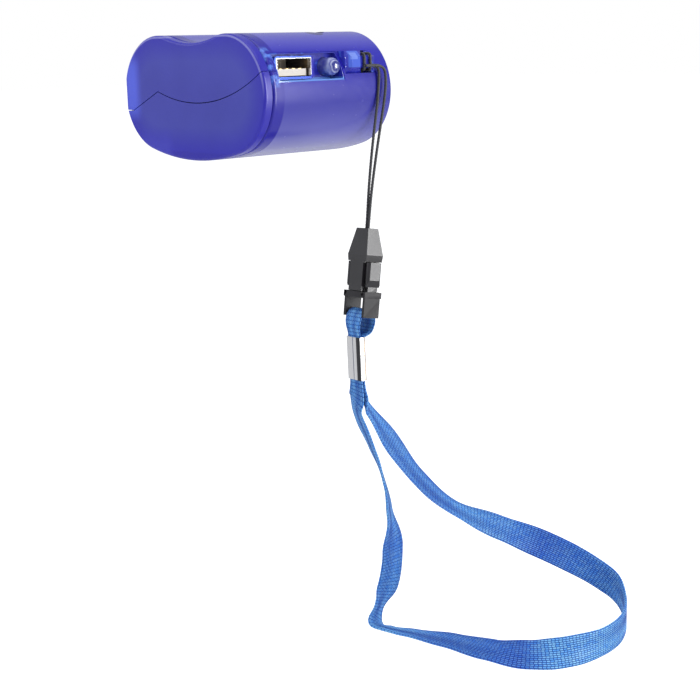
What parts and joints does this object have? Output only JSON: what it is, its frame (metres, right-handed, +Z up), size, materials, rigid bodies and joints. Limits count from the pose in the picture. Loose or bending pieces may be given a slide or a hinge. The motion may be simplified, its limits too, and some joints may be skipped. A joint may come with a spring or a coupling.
{
  "type": "hand crank phone charger",
  "caption": "Pocket generator with a bean-shaped clear housing, a flat crank with fold-out handle, a USB socket, a light and a wrist strap on a side release buckle.",
  "frame": {"origin": "middle of the housing, between its round ends and between its front and back faces, where a hand holds it", "axes": "+X along the bean shaped face towards the socket, light and strap; +Y from the crank face to the back face; +Z up, towards the finger notch"},
  "size_m": [0.1259, 0.0961, 0.1827],
  "materials": {
    "blue_plastic": "clear tinted moulding",
    "steel": "bright",
    "bush_brass": "turned",
    "gear_plastic": "natural acetal",
    "plate_plastic": "moulded",
    "motor_steel": "zinc plated",
    "black_plastic": "moulded",
    "ferrite": "sintered",
    "copper": "enamelled copper wire",
    "wire_red": "insulation",
    "board_green": "solder mask",
    "usb_steel": "plated sheet",
    "usb_white": "moulded",
    "led_clear": "clear epoxy",
    "cord_black": "braided cord",
    "ribbon_blue": "woven webbing",
    "ferrule_steel": "bright crimped sheet"
  },
  "bodies": {
    "housing": {"upper_shell": "blue_plastic", "lower_shell": "blue_plastic", "port_frame": "blue_plastic", "strap_lug": "blue_plastic", "housing_screws": "steel", "crank_bush": "bush_brass", "gear_axles": "steel", "gear_plate": "plate_plastic", "plate_screws": "steel", "motor_can": "motor_steel", "motor_end_cap": "black_plastic", "motor_magnets": "ferrite", "motor_screws": "steel", "motor_wires": "wire_red", "circuit_board": "board_green", "usb_shell": "usb_steel", "usb_tongue": "usb_white", "usb_contacts": "bush_brass", "led": "led_clear", "led_leads": "steel", "smoothing_capacitor": "black_plastic", "inductor": "ferrite", "regulator_chip": "black_plastic", "diodes": "black_plastic", "strap_hitch": "cord_black", "strap_strand_left": "cord_black", "strap_strand_right": "cord_black", "buckle_female": "black_plastic"},
    "crank": {"crank_arm": "blue_plastic", "handle_hinge_pin": "steel", "crank_shaft": "steel", "shaft_clip": "steel", "drive_gear": "gear_plastic"},
    "handle": {"crank_handle": "blue_plastic"},
    "gear_a": {"compound_gear_a": "gear_plastic"},
    "gear_b": {"compound_gear_b": "gear_plastic"},
    "rotor": {"motor_pinion": "bush_brass", "motor_shaft": "steel", "motor_rotor": "motor_steel", "motor_windings": "copper"},
    "buckle_insert": {"buckle_male": "black_plastic", "ribbon_fold": "ribbon_blue", "ribbon_ferrule": "ferrule_steel", "wrist_ribbon": "ribbon_blue"},
    "latch_left": {"buckle_latch_left": "black_plastic"},
    "latch_right": {"buckle_latch_right": "black_plastic"}
  },
  "joints": [
    {"name": "crank_spin", "type": "hinge", "parent": "housing", "child": "crank", "pos_m": [0.015, 0, -0.0056], "axis": [0, 1, 0], "continuous": true},
    {"name": "handle_fold", "type": "hinge", "parent": "crank", "child": "handle", "pos_m": [-0.0297, -0.02455, 0], "axis": [0, 0, -1], "range_deg": [0, 90]},
    {"name": "gear_a_spin", "type": "hinge", "parent": "housing", "child": "gear_a", "pos_m": [0.0046, 0, -0.00414], "axis": [0, 1, 0], "continuous": true},
    {"name": "gear_b_spin", "type": "hinge", "parent": "housing", "child": "gear_b", "pos_m": [-0.00549, 0, -0.00703], "axis": [0, 1, 0], "continuous": true},
    {"name": "rotor_spin", "type": "hinge", "parent": "housing", "child": "rotor", "pos_m": [-0.01563, 0, -0.00432], "axis": [0, 1, 0], "continuous": true},
    {"name": "buckle_slide", "type": "slide", "parent": "housing", "child": "buckle_insert", "axis": [0.0296, -0.1656, -0.9857], "range_m": [0, 0.009]},
    {"name": "latch_left_squeeze", "type": "hinge", "parent": "buckle_insert", "child": "latch_left", "pos_m": [0.02514, 0.01214, -0.05928], "axis": [0.2222, 0.9626, -0.1551], "range_deg": [0, 6], "stiffness_Nm_per_rad": 0.01},
    {"name": "latch_right_squeeze", "type": "hinge", "parent": "buckle_insert", "child": "latch_right", "pos_m": [0.0342, 0.01015, -0.05867], "axis": [-0.2222, -0.9626, 0.1551], "range_deg": [0, 6], "stiffness_Nm_per_rad": 0.01}
  ],
  "couplings": [
    {"joint": "gear_a_spin", "follows": "crank_spin", "ratio": -3.2},
    {"joint": "gear_b_spin", "follows": "crank_spin", "ratio": 10.24},
    {"joint": "rotor_spin", "follows": "crank_spin", "ratio": -32.768}
  ]
}
